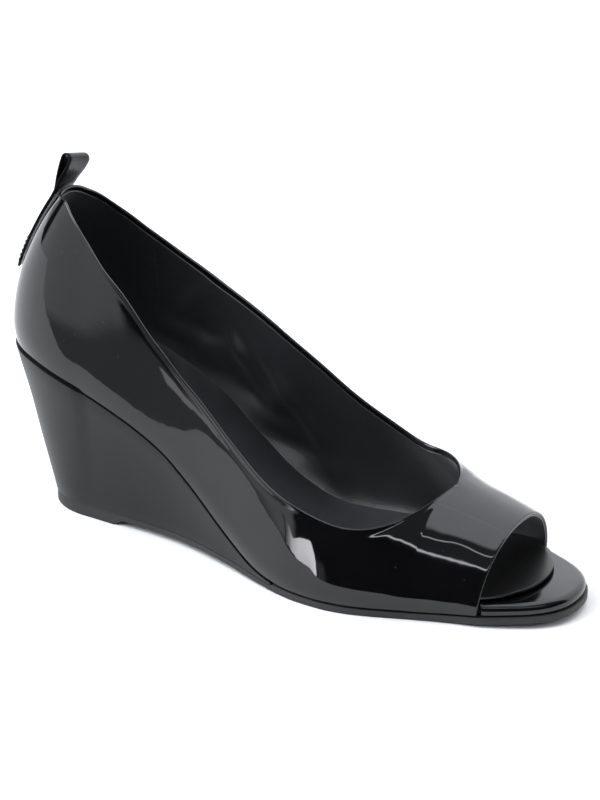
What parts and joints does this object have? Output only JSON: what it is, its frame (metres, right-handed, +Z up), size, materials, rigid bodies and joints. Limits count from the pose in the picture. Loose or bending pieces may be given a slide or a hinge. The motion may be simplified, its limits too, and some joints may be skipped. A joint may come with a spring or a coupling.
{
  "type": "wedge pump",
  "caption": "Right wedge pump with a peep toe: glossy patent shell on a covered wedge, rubber sole, wrapped toe rim and a folded pull loop at the heel",
  "frame": {"origin": "middle of the heel's rest on the floor", "axes": "+X to the toe, +Y to the medial side of this right shoe, +Z up; the floor is Z = 0"},
  "size_m": [0.2398, 0.0814, 0.1389],
  "materials": {
    "sole_rubber": "matt black moulded rubber",
    "wedge_cover": "satin black cover, evenly dull",
    "patent": "black patent, mirror gloss",
    "toe_wrap": "black patent wrapped over the toe's rim",
    "sock_lining": "smooth black lining, low sheen",
    "loop_strap": "black strap, soft gloss"
  },
  "bodies": {
    "root": {"outsole": "sole_rubber", "wedge": "wedge_cover", "upper": "patent", "insole": "toe_wrap", "sock": "sock_lining", "pull_loop": "loop_strap"}
  },
  "joints": []
}
